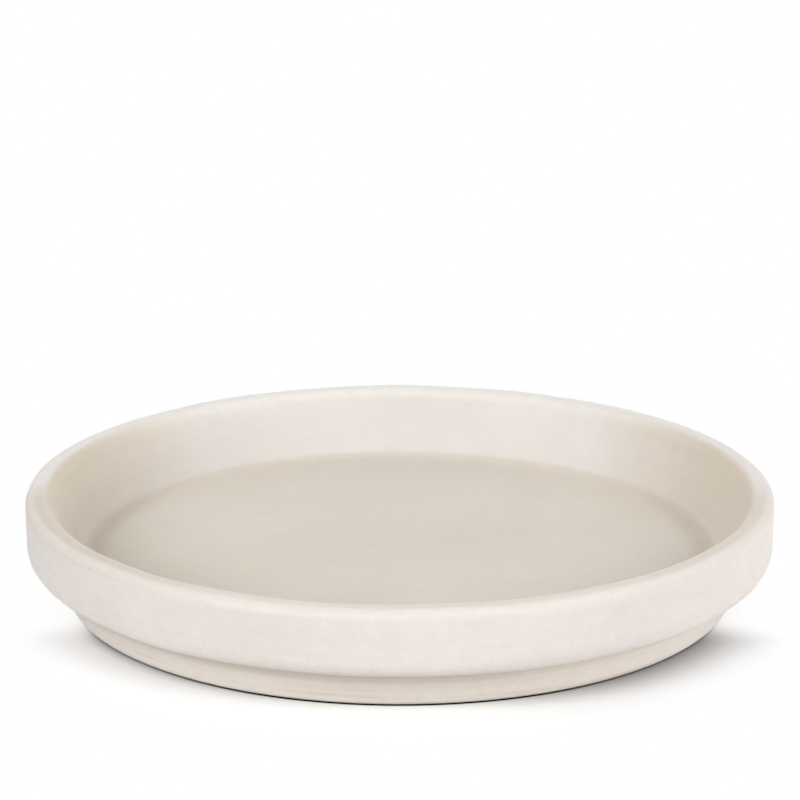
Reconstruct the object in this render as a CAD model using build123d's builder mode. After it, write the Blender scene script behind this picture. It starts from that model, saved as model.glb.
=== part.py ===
"""Round plant saucer: a body of raw fired clay, and the watertight coat on its inside.

Lengths are in millimetres and +Z is up. The origin is the middle of the base, on the surface that
the saucer stands on.
"""

import os

from build123d import *

# Collar: the thick upright band round the outside, up to the lip
rim_diameter = 200.0
collar_height = 18.0
collar_taper = 0.1
collar_overhang = 8.1
collar_lower_round = 4.8

# Lip: the flat top of the wall, softened on both edges
lip_width = 5.8
lip_outer_round = 2.1
lip_inner_round = 1.8

# Base: the narrower part under the collar, leaning in towards the table
base_height = 10.2
base_lean = 2.9
base_edge_round = 1.2
collar_root_round = 1.2

# Recess under the base, which leaves a ring to stand on
foot_ring_width = 12.0
recess_depth = 2.0
recess_run = 3.0
recess_round = 1.5

# Inside of the dish
floor_thickness = 7.4
wall_run = 9.7
floor_corner_round = 4.0

# Sealing coat: even over the floor and the wall, brushed out thin below the lip
coat_thickness = 0.6
coat_edge_thickness = 0.3
coat_below_rim = 5.0

# Radii and levels that follow from the sizes above
rim_radius = rim_diameter / 2
collar_lower_radius = rim_radius - collar_taper
base_top_radius = collar_lower_radius - collar_overhang
base_radius = base_top_radius - base_lean
foot_inner_radius = base_radius - foot_ring_width
recess_radius = foot_inner_radius - recess_run
lip_inner_radius = rim_radius - lip_width
floor_radius = lip_inner_radius - wall_run
rim_level = base_height + collar_height
floor_level = recess_depth + floor_thickness

# Clay body: one half section, turned about the upright axis
with BuildPart() as clay_body:
    with BuildSketch(Plane.XZ):
        with BuildLine():
            body_outline = FilletPolyline(
                (0, recess_depth),
                (recess_radius, recess_depth),
                (foot_inner_radius, 0),
                (base_radius, 0),
                (base_top_radius, base_height),
                (collar_lower_radius, base_height),
                (rim_radius, rim_level),
                (lip_inner_radius, rim_level),
                (floor_radius, floor_level),
                (0, floor_level),
                radius=[
                    recess_round,
                    recess_round,
                    base_edge_round,
                    collar_root_round,
                    collar_lower_round,
                    lip_outer_round,
                    lip_inner_round,
                    floor_corner_round,
                ],
            )
            Line(body_outline @ 1, body_outline @ 0)
        make_face()
    revolve(axis=Axis.Z)
clay_body.part.label = "clay_body"

# Direction up the clay's inner wall, and the direction out of that wall towards the axis
wall_foot = Vector(floor_radius, floor_level)
wall_up = (Vector(lip_inner_radius, rim_level) - wall_foot).normalized()
wall_inward = Vector(-wall_up.Y, wall_up.X)

# The coat's upper edge on the wall, and the corner where its two faces meet over the floor
coat_climb = (rim_level - coat_below_rim - floor_level) / wall_up.Y
coat_edge = wall_foot + wall_up * coat_climb
coat_corner_shift = coat_thickness * (wall_up.X - 1) / wall_up.Y
coat_corner = wall_foot + Vector(coat_corner_shift, coat_thickness)

# Sealing coat: it lies on the clay all over, so its seat repeats the clay's own line
with BuildPart() as inner_sealing_coat:
    with BuildSketch(Plane.XZ):
        with BuildLine():
            coat_seat = FilletPolyline(
                (0, floor_level),
                wall_foot,
                coat_edge,
                radius=floor_corner_round,
            )
            coat_face = FilletPolyline(
                (0, floor_level + coat_thickness),
                coat_corner,
                coat_edge + wall_inward * coat_edge_thickness,
                radius=floor_corner_round - coat_thickness,
            )
            Line(coat_seat @ 0, coat_face @ 0)
            Line(coat_seat @ 1, coat_face @ 1)
        make_face()
    revolve(axis=Axis.Z)
inner_sealing_coat.part.label = "inner_sealing_coat"

os.makedirs("parts", exist_ok=True)
export_step(clay_body.part, "parts/clay_body.step")
export_step(inner_sealing_coat.part, "parts/inner_sealing_coat.step")
print(f"Saucer {rim_diameter:.1f} across the rim, {rim_level:.1f} high, standing on {2 * base_radius:.1f}")
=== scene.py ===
# %% [markdown]
# # A raw clay plant saucer
# The saucer is one low round dish of pale unglazed clay: a thick upright collar with a flat lip, a
# wall that slopes in to a flat floor, and a narrower base under the collar. A watertight coat lies
# on the inside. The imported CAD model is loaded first, as a fixed frame that says where each piece is
# and how large. A softer body and coat are then turned over it, and the frame itself never moves.

import math

import bpy
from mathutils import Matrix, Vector


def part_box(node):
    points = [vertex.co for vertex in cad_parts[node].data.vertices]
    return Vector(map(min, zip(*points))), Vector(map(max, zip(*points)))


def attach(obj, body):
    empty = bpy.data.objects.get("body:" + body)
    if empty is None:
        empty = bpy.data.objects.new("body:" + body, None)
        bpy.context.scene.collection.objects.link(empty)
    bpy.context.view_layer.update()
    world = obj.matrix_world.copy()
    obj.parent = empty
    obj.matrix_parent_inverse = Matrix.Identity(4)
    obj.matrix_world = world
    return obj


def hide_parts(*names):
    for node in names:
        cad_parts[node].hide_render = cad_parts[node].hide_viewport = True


MM = 0.001

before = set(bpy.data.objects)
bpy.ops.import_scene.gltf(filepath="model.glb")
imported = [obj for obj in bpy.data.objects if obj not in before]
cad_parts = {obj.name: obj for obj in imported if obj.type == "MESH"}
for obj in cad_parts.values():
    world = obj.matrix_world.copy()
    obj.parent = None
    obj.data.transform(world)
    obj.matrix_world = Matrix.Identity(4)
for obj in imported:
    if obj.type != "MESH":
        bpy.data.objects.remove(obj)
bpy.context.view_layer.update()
clay_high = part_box("clay_body")[1]
coat_low, coat_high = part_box("inner_sealing_coat")
print("CAD nodes", sorted(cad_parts))

# %% [markdown]
# The camera stands a little under a metre away and looks down on the dish at a low angle, with a
# long lens, as a product photographer would. It could be aimed straight at the saucer and shifted
# down, but a shift would stay on in every other view, so the camera is tipped up instead until the
# saucer lies low in the picture.

# %% Camera
IMAGE_PIXELS = 800
FOCAL_PIXELS = 2960
AIM_PIXEL_Y = 530.3
SENSOR_WIDTH = 36
AIM_POINT = Vector((0, 0, 15 * MM))
CAMERA_DISTANCE = 0.8
CAMERA_ELEVATION = math.radians(18.49)

line_of_sight = Vector((0, -math.cos(CAMERA_ELEVATION), math.sin(CAMERA_ELEVATION)))
tip_up = math.atan((AIM_PIXEL_Y - IMAGE_PIXELS / 2) / FOCAL_PIXELS)
bpy.ops.object.camera_add(
    location=AIM_POINT + line_of_sight * CAMERA_DISTANCE,
    rotation=(math.pi / 2 - CAMERA_ELEVATION + tip_up, 0, 0),
)
camera = bpy.context.object
camera.data.sensor_width = SENSOR_WIDTH
camera.data.lens = FOCAL_PIXELS / IMAGE_PIXELS * SENSOR_WIDTH
bpy.context.scene.camera = camera
print("Lens", round(camera.data.lens, 1), "mm")

# %% [markdown]
# A potter measures a dish by its parts: how far the lip is flat, how far the collar hangs over the
# base, how far the wall leans. The rim, its height and the level of the floor are read from the frame,
# so that the new body fits it, and the other sizes are the same real lengths as in the CAD model.

# %% Sizes of the body
rim_radius = clay_high.x
rim_level = clay_high.z
clay_floor_level = coat_low.z

collar_height = 18.0 * MM
collar_taper = 0.1 * MM
collar_overhang = 8.1 * MM
collar_lower_round = 4.8 * MM
lip_width = 5.8 * MM
lip_outer_round = 2.1 * MM
lip_inner_round = 1.8 * MM
base_lean = 2.9 * MM
base_edge_round = 1.2 * MM
collar_root_round = 1.2 * MM
foot_ring_width = 12.0 * MM
recess_depth = 2.0 * MM
recess_run = 3.0 * MM
recess_round = 1.5 * MM
wall_run = 9.7 * MM
floor_corner_round = 4.0 * MM

collar_lower_radius = rim_radius - collar_taper
base_height = rim_level - collar_height
base_top_radius = collar_lower_radius - collar_overhang
base_radius = base_top_radius - base_lean
foot_inner_radius = base_radius - foot_ring_width
recess_radius = foot_inner_radius - recess_run
lip_inner_radius = rim_radius - lip_width
wall_foot_radius = lip_inner_radius - wall_run
print("Rim", round(2 * rim_radius / MM, 1), "mm across, base", round(2 * base_radius / MM, 1), "mm")

# %% [markdown]
# The body was pressed or thrown as one round piece, so one half section holds its whole shape. It
# could be cut from a solid with booleans, but a potter's template is simpler: one point is extruded
# from corner to corner, starting and ending on the upright axis.

# %% Draw the body's half section
START_SIZE = 1 * MM


def draw_section(name, corners):
    """A wire in the XZ plane through (radius, height) corners, drawn by extruding one point."""
    bpy.ops.object.select_all(action="DESELECT")
    places = [Vector((radius, 0, height)) for radius, height in corners]
    bpy.ops.mesh.primitive_plane_add(size=START_SIZE, location=places[0])
    section = bpy.context.object
    section.name = name
    bpy.ops.object.transform_apply(location=True, rotation=True, scale=True)
    bpy.ops.object.mode_set(mode="EDIT")
    bpy.ops.mesh.merge(type="CENTER")
    for here, there in zip(places, places[1:]):
        bpy.ops.mesh.extrude_region_move(TRANSFORM_OT_translate={"value": there - here})
    bpy.ops.object.mode_set(mode="OBJECT")
    print(name, "section with", len(section.data.vertices), "corners")
    return section


body_corners = [
    (0, recess_depth),
    (recess_radius, recess_depth),
    (foot_inner_radius, 0),
    (base_radius, 0),
    (base_top_radius, base_height),
    (collar_lower_radius, base_height),
    (rim_radius, rim_level),
    (lip_inner_radius, rim_level),
    (wall_foot_radius, clay_floor_level),
    (0, clay_floor_level),
]
body = draw_section("saucer_body", body_corners)

# %% [markdown]
# Clay has no sharp edges: a wet sponge rounds every corner. The finished mesh could be bevelled, but
# on the wire each corner takes its own radius with one vertex bevel, and the spin then carries the
# rounding all the way round.

# %% Round its corners
ROUND_STEPS = 7
MERGE_DISTANCE = 0.005 * MM


def select_vertices(piece, wanted):
    """Selects the vertices whose place passes the test, and leaves the piece in edit mode."""
    bpy.ops.object.mode_set(mode="EDIT")
    bpy.ops.mesh.select_mode(type="VERT")
    bpy.ops.mesh.select_all(action="DESELECT")
    bpy.ops.object.mode_set(mode="OBJECT")
    for vertex in piece.data.vertices:
        vertex.select = wanted(vertex.co)
    bpy.ops.object.mode_set(mode="EDIT")


def round_corners(section, corners, radii):
    """Bevels each inner corner of the wire to its radius; a radius of 0 stays sharp."""
    places = [Vector((radius, 0, height)) for radius, height in corners]
    for before, corner, after, radius in zip(places, places[1:], places[2:], radii):
        if radius == 0:
            continue
        turn = (corner - before).angle(after - corner)
        select_vertices(section, lambda place: (place - corner).length < MERGE_DISTANCE)
        bpy.ops.mesh.bevel(
            offset=radius * math.tan(turn / 2),
            offset_type="OFFSET",
            segments=ROUND_STEPS,
            profile=0.5,
            affect="VERTICES",
        )
        bpy.ops.object.mode_set(mode="OBJECT")
    print(section.name, "rounded with", len(section.data.vertices), "points")


body_rounds = [
    recess_round,
    recess_round,
    base_edge_round,
    collar_root_round,
    collar_lower_round,
    lip_outer_round,
    lip_inner_round,
    floor_corner_round,
]
round_corners(body, body_corners, body_rounds)

# %% [markdown]
# The straight runs between the corners would give long thin faces that can't be softened later, so
# each run is subdivided into steps of about 2 mm. The wire is then spun round the upright axis, its
# seam and its two poles are merged, and its faces are turned outwards.

# %% Turn the body
LONGEST_STEP = 2 * MM
TURN_STEPS = 360
SMOOTH_ANGLE = math.radians(40)


def divide_long_edges(section):
    """Cuts each straight run of the wire into even steps."""
    mesh = section.data
    ends = [[mesh.vertices[i].co.copy() for i in edge.vertices] for edge in mesh.edges]
    for start, end in ends:
        cuts = int((end - start).length / LONGEST_STEP)
        if cuts == 0:
            continue
        select_vertices(
            section,
            lambda place: min((place - start).length, (place - end).length) < MERGE_DISTANCE,
        )
        bpy.ops.mesh.subdivide(number_cuts=cuts)
        bpy.ops.object.mode_set(mode="OBJECT")


def turn_section(section):
    """Spins the wire into a closed round piece with its faces outwards."""
    bpy.ops.object.mode_set(mode="EDIT")
    bpy.ops.mesh.select_all(action="SELECT")
    bpy.ops.mesh.spin(steps=TURN_STEPS, angle=2 * math.pi, center=(0, 0, 0), axis=(0, 0, 1))
    bpy.ops.mesh.select_all(action="SELECT")
    bpy.ops.mesh.remove_doubles(threshold=MERGE_DISTANCE)
    bpy.ops.mesh.normals_make_consistent(inside=False)
    bpy.ops.object.mode_set(mode="OBJECT")
    bpy.ops.object.shade_smooth_by_angle(angle=SMOOTH_ANGLE)
    print(section.name, "turned with", len(section.data.polygons), "faces")


divide_long_edges(body)
turn_section(body)

# %% [markdown]
# Raw clay lets water through, so a watertight coat is brushed over the floor and up the wall. It
# could be a copy of the clay's face with a thickness, but a section of its own lets the brush run
# out: the coat is 0.6 mm on the floor and thins to nothing a little below the lip.

# %% Turn the sealing coat
coat_thickness = 0.6 * MM
coat_edge_drop = 0.2 * MM

wall_up = Vector((wall_run, rim_level - clay_floor_level)).normalized()
coat_floor_level = clay_floor_level + coat_thickness
coat_edge_level = coat_high.z - coat_edge_drop
coat_edge_radius = wall_foot_radius + (coat_edge_level - clay_floor_level) * wall_up.x / wall_up.y
coat_corner_radius = wall_foot_radius + coat_thickness * (wall_up.x - 1) / wall_up.y
coat_corners = [
    (0, clay_floor_level),
    (wall_foot_radius, clay_floor_level),
    (coat_edge_radius, coat_edge_level),
    (coat_corner_radius, coat_floor_level),
    (0, coat_floor_level),
]
coat = draw_section("inner_coat", coat_corners)
round_corners(coat, coat_corners, [floor_corner_round, 0, floor_corner_round - coat_thickness])
divide_long_edges(coat)
turn_section(coat)

# %% [markdown]
# A dish that dried and was sponged by hand isn't a perfect turning: its rim rises and falls by a few
# tenths of a millimetre and its faces wander a little. Points could be pushed about one by one, but
# two soft noise fields move the body and its coat together, so that they still fit. The foot is left
# out with a weight, because it has to stand flat.

# %% Soften by hand
FOOT_LEVEL = 2 * MM
FREE_LEVEL = 9 * MM
WARP_SIZE = 120 * MM
WARP_REACH = -0.7 * MM
HAND_SIZE = 28 * MM
HAND_REACH = 0.5 * MM


def soft_field(name, lump, kind):
    """A cloud texture whose lumps have a real size."""
    field = bpy.data.textures.new(name, "CLOUDS")
    field.noise_scale = lump
    field.noise_depth = 1
    field.cloud_type = kind
    return field


def push_about(piece, field, direction, reach):
    """Moves the free part of a piece by a field of the place in space, up to about half the reach."""
    bpy.ops.object.select_all(action="DESELECT")
    bpy.context.view_layer.objects.active = piece
    piece.select_set(True)
    push = piece.modifiers.new(field.name, "DISPLACE")
    push.texture = field
    push.texture_coords = "LOCAL"
    push.direction = direction
    push.mid_level = 0.5
    push.strength = reach
    push.vertex_group = "free_part"
    bpy.ops.object.modifier_apply(modifier=push.name)


drying_warp = soft_field("drying_warp", WARP_SIZE, "GRAYSCALE")
hand_finish = soft_field("hand_finish", HAND_SIZE, "COLOR")
for piece in (body, coat):
    free_part = piece.vertex_groups.new(name="free_part")
    for vertex in piece.data.vertices:
        freedom = (vertex.co.z - FOOT_LEVEL) / (FREE_LEVEL - FOOT_LEVEL)
        free_part.add([vertex.index], min(1, max(0, freedom)), "REPLACE")
    push_about(piece, drying_warp, "Z", WARP_REACH)
    push_about(piece, hand_finish, "RGB_TO_XYZ", HAND_REACH)
    heights = [vertex.co.z for vertex in piece.data.vertices]
    print(piece.name, "from", round(min(heights) / MM, 2), "to", round(max(heights) / MM, 2), "mm")

# %% [markdown]
# The body is white clay, fired and left bare. It is dry and chalky, so it scatters light evenly and
# hardly shines. A picture of clay could be wrapped on, but nodes that read the place on the piece, in
# real millimetres, look right from every side. One function reads a colour from its hex value, one
# adds a node with its settings and links, and one starts a clay finish.

# %% Start the raw clay
SOFT = {"interpolation_type": "SMOOTHSTEP"}
WEAK_SHINE = 0.25
CHALKINESS = 0.6
RAW_ROUGHNESS = 0.95


def srgb(hex_colour):
    """An sRGB hex colour as linear red, green, blue and alpha."""
    channels = [int(hex_colour[i : i + 2], 16) / 255 for i in (1, 3, 5)]
    linear = [c / 12.92 if c <= 0.04045 else ((c + 0.055) / 1.055) ** 2.4 for c in channels]
    return (*linear, 1)


def add_node(tree, kind, inputs, output=0, **settings):
    """Adds a node; each input takes a value or a link from another node. Gives one output back."""
    node = tree.nodes.new("ShaderNode" + kind)
    for name, value in settings.items():
        setattr(node, name, value)
    for name, value in inputs.items():
        if isinstance(value, bpy.types.NodeSocket):
            tree.links.new(value, node.inputs[name])
        else:
            node.inputs[name].default_value = value
    return node.outputs[output]


def start_clay(name, roughness):
    """A chalky finish with a very weak shine, before its colour and relief."""
    clay = bpy.data.materials.new(name)
    clay.use_nodes = True
    shader = clay.node_tree.nodes["Principled BSDF"]
    shader.inputs["Roughness"].default_value = roughness
    shader.inputs["Specular IOR Level"].default_value = WEAK_SHINE
    shader.inputs["Diffuse Roughness"].default_value = CHALKINESS
    print("Material", name)
    return clay, shader


# Fired earthenware, unglazed: dry, even and almost without shine
raw_clay, raw_shader = start_clay("raw_white_clay", RAW_ROUGHNESS)
tree = raw_clay.node_tree
place = add_node(tree, "TexCoord", {}, output="Object")
across, inward, height = add_node(tree, "SeparateXYZ", {0: place}).node.outputs
print("Finish reads the place in", place.name, "coordinates")

# %% [markdown]
# Fired clay is never one flat colour. Wide clouds come from the kiln, and a few warm patches show on
# the collar, where salts dried out at the rim. The colours could be dots of paint, but a wash that
# comes in softly over a span, of a noise or of a height, is how such marks look.

# %% Clouds and patches
CLOUD_SIZE = 45 * MM
CLOUD_SPAN = (0.3, 0.7)
DEEP_CLAY = srgb("#e9e2dc")
PALE_CLAY = srgb("#ede7e3")
PATCH_SIZE = 26 * MM
PATCH_SPAN = (0.55, 0.75)
PATCH_TONE = srgb("#efdccb")
PATCH_STRENGTH = 0.18
PATCH_START = 19 * MM
PATCH_FULL = 26 * MM


def wash(tree, colour, tint, where, start, end, strength=1):
    """A second colour that comes in softly as a value goes from the start to the end of a span."""
    spread = {"Value": where, "From Min": start, "From Max": end, "To Max": strength}
    amount = add_node(tree, "MapRange", spread, **SOFT)
    return add_node(tree, "Mix", {0: amount, 6: colour, 7: tint}, output=2, data_type="RGBA")


cloud = add_node(tree, "TexNoise", {"Vector": place, "Scale": 1 / CLOUD_SIZE, "Detail": 3})
colour = wash(tree, DEEP_CLAY, PALE_CLAY, cloud, *CLOUD_SPAN)
patch = add_node(tree, "TexNoise", {"Vector": place, "Scale": 1 / PATCH_SIZE, "Detail": 2})
rim_range = {
    "Value": height,
    "From Min": PATCH_START,
    "From Max": PATCH_FULL,
    "To Max": PATCH_STRENGTH,
}
near_rim = add_node(tree, "MapRange", rim_range, **SOFT)
colour = wash(tree, colour, PATCH_TONE, patch, *PATCH_SPAN, near_rim)
print("Clouds of", round(CLOUD_SIZE / MM), "mm, patches of", round(PATCH_SIZE / MM), "mm")

# %% [markdown]
# The base is a little yellower than the collar, with warm level streaks that a rib drew out as the
# dish turned. The streaks could be drawn line by line, but noise that is stretched round the axis
# gives lines that run out and start again.

# %% Base
BASE_TONE = srgb("#ebe4db")
BASE_SPAN = (base_height + 2 * MM, base_height - 1 * MM)
BASE_STRENGTH = 0.7
STREAK_LENGTH = 50 * MM
STREAK_WIDTH = 1.6 * MM
STREAK_SPAN = (0.5, 0.72)
STREAK_TONE = srgb("#d3b49a")
STREAK_STRENGTH = 0.3
STREAK_FADE = 2 * MM


def from_axis(tree, place):
    """Distance from the upright axis."""
    level = add_node(tree, "VectorMath", {0: place, 1: (1, 1, 0)}, operation="MULTIPLY")
    return add_node(tree, "VectorMath", {0: level}, output="Value", operation="LENGTH")


def turned_place(tree, place, height, length, width):
    """Places stretched round the axis, so that noise on them turns into level lines and rings."""
    out_and_up = add_node(tree, "Math", {0: from_axis(tree, place), 1: height}, operation="ADD")
    rings = add_node(tree, "Math", {0: out_and_up, 1: 1 / width}, operation="MULTIPLY")
    shrink = (1 / length, 1 / length, 0)
    around = add_node(tree, "VectorMath", {0: place, 1: shrink}, operation="MULTIPLY")
    lifted = add_node(tree, "CombineXYZ", {"Z": rings})
    return add_node(tree, "VectorMath", {0: around, 1: lifted}, operation="ADD")


colour = wash(tree, colour, BASE_TONE, height, *BASE_SPAN, BASE_STRENGTH)
streak_place = turned_place(tree, place, height, STREAK_LENGTH, STREAK_WIDTH)
streak = add_node(tree, "TexNoise", {"Vector": streak_place, "Scale": 1, "Detail": 3})
base_range = {
    "Value": height,
    "From Min": base_height,
    "From Max": base_height - STREAK_FADE,
    "To Max": STREAK_STRENGTH,
}
on_base = add_node(tree, "MapRange", base_range, **SOFT)
colour = wash(tree, colour, STREAK_TONE, streak, *STREAK_SPAN, on_base)
print("Streaks", round(STREAK_WIDTH / MM, 1), "mm wide")

# %% [markdown]
# The corner under the collar gets a painted shade, deeper and redder than the clay. It could be left
# to the lamps' shadow there, but that shadow is grey and this painted shade is warm.

# %% Painted shade in the corner under the collar
# Painted shade: a deeper, redder tone where the collar's shadow falls
CORNER_SHADE_TONE = srgb("#cfae97")
CORNER_SHADE_SPAN = (5.6 * MM, 6.8 * MM)
CORNER_SHADE_STRENGTH = 0.16
CORNER_SHADE_FULL = 9.6 * MM
CORNER_SHADE_END = 11 * MM

corner_shade_range = {
    "Value": height,
    "From Min": CORNER_SHADE_END,
    "From Max": CORNER_SHADE_FULL,
    "To Max": CORNER_SHADE_STRENGTH,
}
shade_under_collar = add_node(tree, "MapRange", corner_shade_range, **SOFT)
colour = wash(tree, colour, CORNER_SHADE_TONE, height, *CORNER_SHADE_SPAN, shade_under_collar)
print("Corner tone up to", round(CORNER_SHADE_END / MM), "mm")

# %% [markdown]
# The lip carries painted light. A painted highlight makes it paler, most of all on its outer edge.
# Towards the front painted shade keeps it warmer, more so to the sides and deepest at the left. These
# soft changes could be left to the lamps, but lamps strong enough for them would bleach the rest, so
# they are thin washes by place.

# %% Lip, with painted highlight and shade
LIP_START = 25 * MM
LIP_FULL = 27 * MM
# Painted highlight over the whole lip
LIP_HIGHLIGHT_TONE = srgb("#f1ece7")
# Painted shade on the near lip, deeper to the sides and deepest at the left
NEAR_LIP_SHADE_TONE = srgb("#eae3da")
NEAR_START = 5 * MM
NEAR_FULL = -22 * MM
SIDE_LIP_SHADE_TONE = srgb("#e6ddd3")
SIDE_SPAN = (40 * MM, 75 * MM)
LEFT_LIP_SHADE_TONE = srgb("#dfd6ca")
LEFT_SPAN = (-45 * MM, -80 * MM)
# Painted highlight along the lip's outer edge
EDGE_HIGHLIGHT_TONE = srgb("#f3eeea")
EDGE_HIGHLIGHT_SPAN = (rim_radius - 3 * MM, rim_radius - 1 * MM)
EDGE_HIGHLIGHT_STRENGTH = 0.6

out = from_axis(tree, place)
aside = add_node(tree, "Math", {0: across}, operation="ABSOLUTE")
lip_range = {"Value": height, "From Min": LIP_START, "From Max": LIP_FULL}
lip = add_node(tree, "MapRange", lip_range, **SOFT)
edge_highlight_range = {**lip_range, "To Max": EDGE_HIGHLIGHT_STRENGTH}
edge_highlight = add_node(tree, "MapRange", edge_highlight_range, **SOFT)
near_range = {"Value": inward, "From Min": NEAR_START, "From Max": NEAR_FULL, "To Max": lip}
near_lip = add_node(tree, "MapRange", near_range, **SOFT)
colour = wash(tree, colour, LIP_HIGHLIGHT_TONE, height, LIP_START, LIP_FULL)
colour = wash(tree, colour, NEAR_LIP_SHADE_TONE, inward, NEAR_START, NEAR_FULL, lip)
colour = wash(tree, colour, SIDE_LIP_SHADE_TONE, aside, *SIDE_SPAN, near_lip)
colour = wash(tree, colour, LEFT_LIP_SHADE_TONE, across, *LEFT_SPAN, near_lip)
colour = wash(tree, colour, EDGE_HIGHLIGHT_TONE, out, *EDGE_HIGHLIGHT_SPAN, edge_highlight)
print("Lip from", round(LIP_START / MM), "mm up")

# %% [markdown]
# The inside wall is painted palest at the back and front, and darker and warmer to the two sides, as
# painted shade. The sealing coat covers most of it and ends below the lip. Two separate finishes would
# show a step there, so one function makes the wall's colours for both. A painted highlight makes the
# far lip palest of all, also on its rounded inner edge.

# %% Inside wall
WALL_START = 14 * MM
WALL_FULL = 16 * MM
WALL_SPAN = (lip_inner_radius + 1.6 * MM, lip_inner_radius)
WALL_SHADE_SPAN = (52 * MM, 94 * MM)
# Painted light on the inside wall: lit tones at the back and front, shaded tones to the sides
LIT_WALL_TONES = (srgb("#eee9e4"), srgb("#f2eeea"))
SHADED_WALL_TONES = (srgb("#e6dbcb"), srgb("#e9decf"))
# Painted highlight on the far lip
FAR_LIP_HIGHLIGHT_TONE = srgb("#f7f3ee")
FAR_LIP_HIGHLIGHT_SPAN = (30 * MM, 95 * MM)


def wall_colour_with_shade(tree, cloud, aside):
    """The inside wall: palest towards the back and front, and warmer on the two sides as painted shade."""
    lit_wall = wash(tree, *LIT_WALL_TONES, cloud, *CLOUD_SPAN)
    shaded_wall = wash(tree, *SHADED_WALL_TONES, cloud, *CLOUD_SPAN)
    return wash(tree, lit_wall, shaded_wall, aside, *WALL_SHADE_SPAN)


wall_range = {"Value": height, "From Min": WALL_START, "From Max": WALL_FULL}
on_wall = add_node(tree, "MapRange", wall_range, **SOFT)
wall = wall_colour_with_shade(tree, cloud, aside)
colour = wash(tree, colour, wall, out, *WALL_SPAN, on_wall)
colour = wash(tree, colour, FAR_LIP_HIGHLIGHT_TONE, inward, *FAR_LIP_HIGHLIGHT_SPAN, lip)
print("Bare wall from", round(WALL_START / MM), "mm up")

# %% [markdown]
# Seen close, raw clay has a mottle of a few millimetres, gritty grain, and faint level lines where a
# wet sponge ran round the turning dish. The real grit is about 0.2 mm, which is too fine to show in
# the render, so it is drawn at 0.7 mm. Tone and relief could have a pattern each, but one drives both,
# because a pit is darker than the clay around it.

# %% Mottle, grain and sponge lines
MOTTLE_SIZE = 4 * MM
MOTTLE_SHARE = 0.35
GRAIN_SIZE = 0.7 * MM
GRAIN_SHARE = 0.4
SPONGE_LENGTH = 60 * MM
SPONGE_WIDTH = 1.3 * MM
SPONGE_SHARE = 0.25
PATTERN_LOW = 0.2
PATTERN_HIGH = 0.8
RAW_EVENNESS = 0.9
RAW_RELIEF = 0.08 * MM


def clay_surface(tree, place, height, colour, evenness, relief, shader):
    """Gives a shader the mottle, grain and sponge lines of clay, in tone and in relief."""
    line_place = turned_place(tree, place, height, SPONGE_LENGTH, SPONGE_WIDTH)
    mottle = add_node(tree, "TexNoise", {"Vector": place, "Scale": 1 / MOTTLE_SIZE, "Detail": 4})
    grain = add_node(tree, "TexNoise", {"Vector": place, "Scale": 1 / GRAIN_SIZE, "Detail": 2})
    lines = add_node(tree, "TexNoise", {"Vector": line_place, "Scale": 1, "Detail": 2})
    pattern = add_node(tree, "Math", {0: lines, 1: SPONGE_SHARE}, operation="MULTIPLY")
    pattern = add_node(tree, "Math", {0: mottle, 1: MOTTLE_SHARE, 2: pattern}, operation="MULTIPLY_ADD")
    pattern = add_node(tree, "Math", {0: grain, 1: GRAIN_SHARE, 2: pattern}, operation="MULTIPLY_ADD")
    tone_range = {
        "Value": pattern,
        "From Min": PATTERN_LOW,
        "From Max": PATTERN_HIGH,
        "To Min": (1 + evenness) / 2,
        "To Max": (3 - evenness) / 2,
    }
    tone = add_node(tree, "MapRange", tone_range, **SOFT)
    toned = add_node(tree, "VectorMath", {0: colour, "Scale": tone}, operation="SCALE")
    bump = add_node(tree, "Bump", {"Height": pattern, "Distance": relief, "Strength": 1})
    tree.links.new(toned, shader.inputs["Base Color"])
    tree.links.new(bump, shader.inputs["Normal"])


clay_surface(tree, place, height, colour, RAW_EVENNESS, RAW_RELIEF, raw_shader)
body.data.materials.append(raw_clay)
print(raw_clay.name, "with", len(tree.nodes), "nodes")

# %% [markdown]
# The sealing coat is thin and clear, and dries matt. It fills the pores, so the grain is flatter and
# the clay under it a little deeper and yellower, as when it is damp. A separate glossy varnish would
# look like glaze, so the coat keeps the clay's own clouds and only takes a smoother finish. A painted
# shade darkens the corner at the foot of the two side walls, and on the wall the coat hardly shows.

# %% Sealed clay
SEALED_ROUGHNESS = 0.8
SEALED_EVENNESS = 0.94
SEALED_RELIEF = 0.03 * MM
DEEP_FLOOR = srgb("#e3dace")
PALE_FLOOR = srgb("#e6ded3")
# Painted shade in the corner at the foot of the two side walls
CREASE_SHADE_TONE = srgb("#d9cfbf")
CREASE_SHADE_SPAN = (77 * MM, 82 * MM)
CREASE_SHADE_STRENGTH = 0.7
CREASE_SHADE_START = 62 * MM
CREASE_SHADE_FULL = 80 * MM
COAT_WALL_SPAN = (coat_floor_level + 0.1 * MM, coat_floor_level + 2.2 * MM)

# Clay under a clear matt sealer: smoother than bare clay, and still without gloss
sealed_clay, sealed_shader = start_clay("sealed_white_clay", SEALED_ROUGHNESS)
tree = sealed_clay.node_tree
place = add_node(tree, "TexCoord", {}, output="Object")
axes = add_node(tree, "SeparateXYZ", {0: place}).node.outputs
across, height = axes["X"], axes["Z"]
out = from_axis(tree, place)
cloud = add_node(tree, "TexNoise", {"Vector": place, "Scale": 1 / CLOUD_SIZE, "Detail": 3})
aside = add_node(tree, "Math", {0: across}, operation="ABSOLUTE")
crease_shade_range = {
    "Value": aside,
    "From Min": CREASE_SHADE_START,
    "From Max": CREASE_SHADE_FULL,
    "To Max": CREASE_SHADE_STRENGTH,
}
crease_shade = add_node(tree, "MapRange", crease_shade_range, **SOFT)
wall = wall_colour_with_shade(tree, cloud, aside)
colour = wash(tree, DEEP_FLOOR, PALE_FLOOR, cloud, *CLOUD_SPAN)
colour = wash(tree, colour, CREASE_SHADE_TONE, out, *CREASE_SHADE_SPAN, crease_shade)
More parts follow.
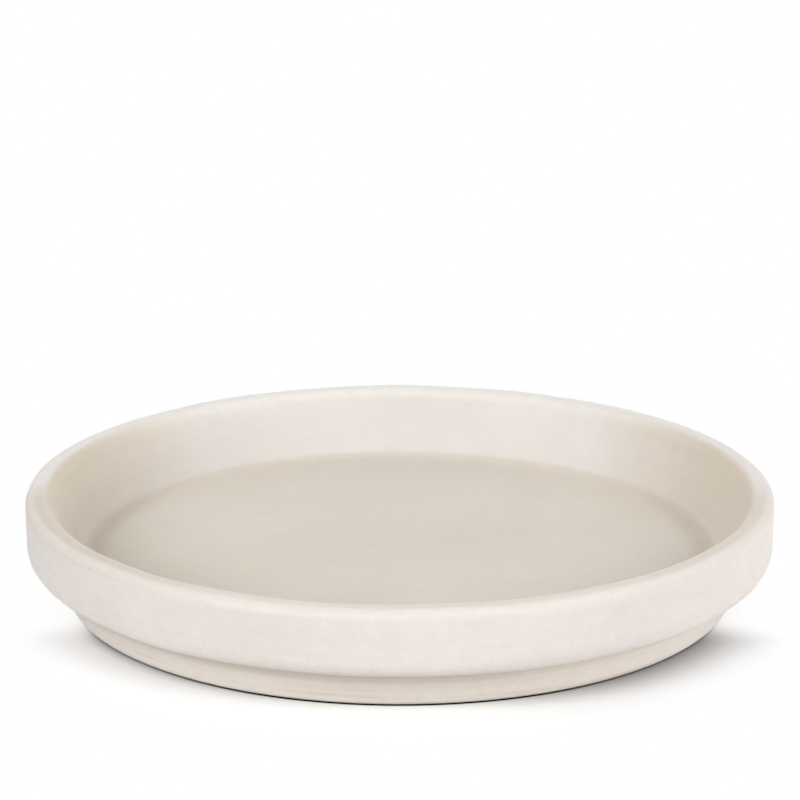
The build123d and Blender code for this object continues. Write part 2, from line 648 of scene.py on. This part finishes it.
colour = wash(tree, colour, wall, height, *COAT_WALL_SPAN)
clay_surface(tree, place, height, colour, SEALED_EVENNESS, SEALED_RELIEF, sealed_shader)
coat.data.materials.append(sealed_clay)
print(sealed_clay.name, "with", len(tree.nodes), "nodes")

# %% [markdown]
# Each finished piece is joined to the frame: it rides on the part's only body and stands for its CAD
# node, which is hidden.

# %% Join the pieces to the frame
for piece, node, slot in (
    (body, "clay_body", "raw_clay"),
    (coat, "inner_sealing_coat", "sealing_coat"),
):
    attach(piece, "root")
    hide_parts(node)
    print(piece.name, "stands for", node)

# %% [markdown]
# The saucer stands on a white table that fades into a white background. A plain white sheet would
# turn grey in this light, so the camera sees the table change into plain white a little way out from
# the saucer, while the lamps' own shadow close to the base stays.

# %% Table
TABLE_SIZE = 8

bpy.ops.object.select_all(action="DESELECT")
bpy.ops.mesh.primitive_plane_add(size=TABLE_SIZE, location=(0, 0, 0))
table = bpy.context.object
table.name = "white_table"
table_white = bpy.data.materials.new("white_table")
table_white.use_nodes = True
table.data.materials.append(table_white)
tree = table_white.node_tree
tree.nodes.remove(tree.nodes["Principled BSDF"])
place = add_node(tree, "TexCoord", {}, output="Object")
axes = add_node(tree, "SeparateXYZ", {0: place}).node.outputs
across, inward = axes["X"], axes["Y"]
out = from_axis(tree, place)
print("Table", TABLE_SIZE, "m across")

# %% [markdown]
# Under the overhanging collar less light reaches the table. Large soft lamps wash most of that gloom
# out, so it is drawn on the table, by the distance from the base. First come the stretches of table
# where it changes: to the two sides, to the right, and beside the dish, where the table lies open.

# %% Stretches of table round the base
SIDE_FULL = 65 * MM
RIGHT_START = -40 * MM
RIGHT_FULL = 40 * MM
OPEN_START = -48 * MM
OPEN_FULL = -26 * MM
OPEN_END = 40 * MM

from_base = add_node(tree, "Math", {0: out, 1: base_radius}, operation="SUBTRACT", use_clamp=True)
aside = add_node(tree, "Math", {0: across}, operation="ABSOLUTE")
side_range = {"Value": aside, "From Min": 0, "From Max": SIDE_FULL}
to_side = add_node(tree, "MapRange", side_range, **SOFT)
right_range = {"Value": across, "From Min": RIGHT_START, "From Max": RIGHT_FULL, "To Max": to_side}
to_right = add_node(tree, "MapRange", right_range, **SOFT)
front_range = {"Value": inward, "From Min": OPEN_START, "From Max": OPEN_FULL}
past_front = add_node(tree, "MapRange", front_range, **SOFT)
open_range = {
    "Value": inward,
    "From Min": 0,
    "From Max": OPEN_END,
    "To Min": past_front,
    "To Max": 0,
}
open_side = add_node(tree, "MapRange", open_range, **SOFT)
print("Base meets the table", round(base_radius / MM, 1), "mm out")

# %% [markdown]
# The gloom is weakest in front, deeper to the sides, and longest to the right, where the lamps are
# weaker. A straight fade would end in a line, so it loses the same share with every step outwards, as
# soft shadows do.

# %% Gloom under the collar
FRONT_REACH = 3.2 * MM
SIDE_REACH_GAIN = 0.8 * MM
RIGHT_REACH_GAIN = 7 * MM
FRONT_DEPTH = 0.36
SIDE_DEPTH_GAIN = 0.3
RIGHT_DEPTH_GAIN = 0.1
OPEN_DEPTH = 0.1

reach = add_node(tree, "Math", {0: to_side, 1: SIDE_REACH_GAIN, 2: FRONT_REACH}, operation="MULTIPLY_ADD")
reach = add_node(tree, "Math", {0: to_right, 1: RIGHT_REACH_GAIN, 2: reach}, operation="MULTIPLY_ADD")
steps_out = add_node(tree, "Math", {0: from_base, 1: reach}, operation="DIVIDE")
falloff = add_node(tree, "Math", {0: math.exp(-1), 1: steps_out}, operation="POWER")
depth = add_node(tree, "Math", {0: to_side, 1: SIDE_DEPTH_GAIN, 2: FRONT_DEPTH}, operation="MULTIPLY_ADD")
depth = add_node(tree, "Math", {0: to_right, 1: RIGHT_DEPTH_GAIN, 2: depth}, operation="MULTIPLY_ADD")
depth = add_node(tree, "MapRange", {"Value": open_side, "To Min": depth, "To Max": OPEN_DEPTH})
gloom = add_node(tree, "Math", {0: depth, 1: falloff}, operation="MULTIPLY")
print("Gloom fades over", round(FRONT_REACH / MM, 1), "mm in front")

# %% [markdown]
# Right at the foot a thin dark line shows where base and table touch. It could be left to the lamps,
# but their soft light blurs it away. It fades out to the two sides. The gloom and this line together
# leave the share of light that the table still gives back.

# %% Contact line
CONTACT_WIDEST = 0.75 * MM
CONTACT_THINNEST = 0.45 * MM
CONTACT_FAINTEST = 0.3
CONTACT_FADE_START = 30 * MM
CONTACT_FADE_END = 75 * MM

to_ends = {"Value": aside, "From Min": CONTACT_FADE_START, "From Max": CONTACT_FADE_END}
narrow_range = {**to_ends, "To Min": CONTACT_WIDEST, "To Max": CONTACT_THINNEST}
line_width = add_node(tree, "MapRange", narrow_range, **SOFT)
fading_range = {**to_ends, "To Min": 1, "To Max": CONTACT_FAINTEST}
line_depth = add_node(tree, "MapRange", fading_range, **SOFT)
line_depth = add_node(tree, "MapRange", {"Value": open_side, "To Min": line_depth, "To Max": 0})
contact_range = {"Value": from_base, "From Max": line_width, "To Min": line_depth, "To Max": 0}
contact = add_node(tree, "MapRange", contact_range, **SOFT)
clear = add_node(tree, "Math", {0: 1, 1: contact}, operation="SUBTRACT")
bright = add_node(tree, "Math", {0: 1, 1: gloom}, operation="SUBTRACT")
light_share = add_node(tree, "Math", {0: clear, 1: bright}, operation="MULTIPLY")
print("Contact line up to", round(CONTACT_WIDEST / MM, 2), "mm wide")

# %% [markdown]
# For scattered light the table is a matt sheet of middling white that dims close to the base, so that
# the edge of the foot darkens too. The camera, and any shiny surface, sees a whiter sheet that turns
# into plain white of strength 1 further out, and sooner on the open stretch.

# %% Table finish
MATT_WHITE = 0.8
DIM_WHITE = 0.2
DIM_WIDTH = 2.2 * MM
GLOW = 0.3
WHITE_START = 92 * MM
WHITE_FULL = 115 * MM
OPEN_SHIFT = 18 * MM


def seen_directly(tree):
    """1 for the camera and for shiny or clear surfaces, 0 for scattered light."""
    path = add_node(tree, "LightPath", {}).node.outputs
    rays = {0: path["Is Camera Ray"], 1: path["Is Glossy Ray"]}
    seen = add_node(tree, "Math", rays, operation="MAXIMUM")
    return add_node(tree, "Math", {0: seen, 1: path["Is Transmission Ray"]}, operation="MAXIMUM")


matt_range = {"Value": from_base, "From Max": DIM_WIDTH, "To Min": DIM_WHITE, "To Max": MATT_WHITE}
matt_share = add_node(tree, "MapRange", matt_range, **SOFT)
matt_sheet = add_node(tree, "BsdfDiffuse", {"Color": matt_share})
near_white = add_node(tree, "BsdfDiffuse", {"Color": light_share})
near_glow = add_node(tree, "Emission", {"Color": light_share, "Strength": GLOW})
near_sheet = add_node(tree, "AddShader", {0: near_white, 1: near_glow})
plain_white = add_node(tree, "Emission", {"Color": (1, 1, 1, 1), "Strength": 1})
further = add_node(tree, "Math", {0: open_side, 1: OPEN_SHIFT, 2: out}, operation="MULTIPLY_ADD")
white_range = {"Value": further, "From Min": WHITE_START, "From Max": WHITE_FULL}
to_white = add_node(tree, "MapRange", white_range, **SOFT)
seen_sheet = add_node(tree, "MixShader", {0: to_white, 1: near_sheet, 2: plain_white})
sheet = add_node(tree, "MixShader", {0: seen_directly(tree), 1: matt_sheet, 2: seen_sheet})
tree.links.new(sheet, tree.nodes["Material Output"].inputs["Surface"])
print("Plain white from", round(WHITE_FULL / MM), "mm out")

# %% [markdown]
# The background is plain white to the camera and gives the dish only a little even light. A bright
# white world would be simpler, but it would flatten the shading inside the dish.

# %% World
AMBIENT = 0.05

world = bpy.data.worlds.new("studio")
bpy.context.scene.world = world
world.use_nodes = True
tree = world.node_tree
sky = tree.nodes["Background"]
sky.inputs["Color"].default_value = (1, 1, 1, 1)
sky_range = {"Value": seen_directly(tree), "To Min": AMBIENT, "To Max": 1}
tree.links.new(add_node(tree, "MapRange", sky_range), sky.inputs["Strength"])
print("Even light", AMBIENT)

# %% [markdown]
# Two large soft lamps stand in front, one to each side, the left one stronger, with a low fill
# between them, so that the collar is bright and even and the inside walls to the left and right fall
# off. A lamp from above and one from behind light the floor and the far lip. A low strip lifts the
# right end of the collar, and another its back. Sun lamps would need fewer numbers, but their
# shadows are hard.

# %% Lights
LAMP_DISTANCE = 1.5
LAMP_SIZE = 0.7
STRIP_DISTANCE = 1.2


def softbox(name, azimuth, elevation, power, distance=LAMP_DISTANCE, width=LAMP_SIZE, height=LAMP_SIZE):
    """A lamp that faces the saucer, turned from the front and raised from the table, in degrees."""
    turn = math.radians(azimuth)
    rise = math.radians(elevation)
    level = math.cos(rise)
    outward = Vector((math.sin(turn) * level, -math.cos(turn) * level, math.sin(rise)))
    facing = outward.to_track_quat("Z", "Y").to_euler()
    bpy.ops.object.light_add(type="AREA", location=outward * distance, rotation=facing)
    lamp = bpy.context.object
    lamp.name = name
    lamp.data.shape = "RECTANGLE"
    lamp.data.size = width
    lamp.data.size_y = height
    lamp.data.energy = power
    print(name, power, "W")


softbox("left_softbox", azimuth=-45, elevation=30, power=11.2)
softbox("right_softbox", azimuth=45, elevation=30, power=6.2)
softbox("front_fill", azimuth=14, elevation=15, power=4.8)
softbox("top_light", azimuth=45, elevation=65, power=2.4)
softbox("right_strip", azimuth=90, elevation=2.5, power=3.6, distance=STRIP_DISTANCE, width=0.6, height=0.1)
softbox("back_light", azimuth=180, elevation=30, power=6.0)
softbox("back_strip", azimuth=180, elevation=4, power=5.0, distance=STRIP_DISTANCE, width=1.0, height=0.2)
bpy.context.scene.view_settings.view_transform = "Standard"
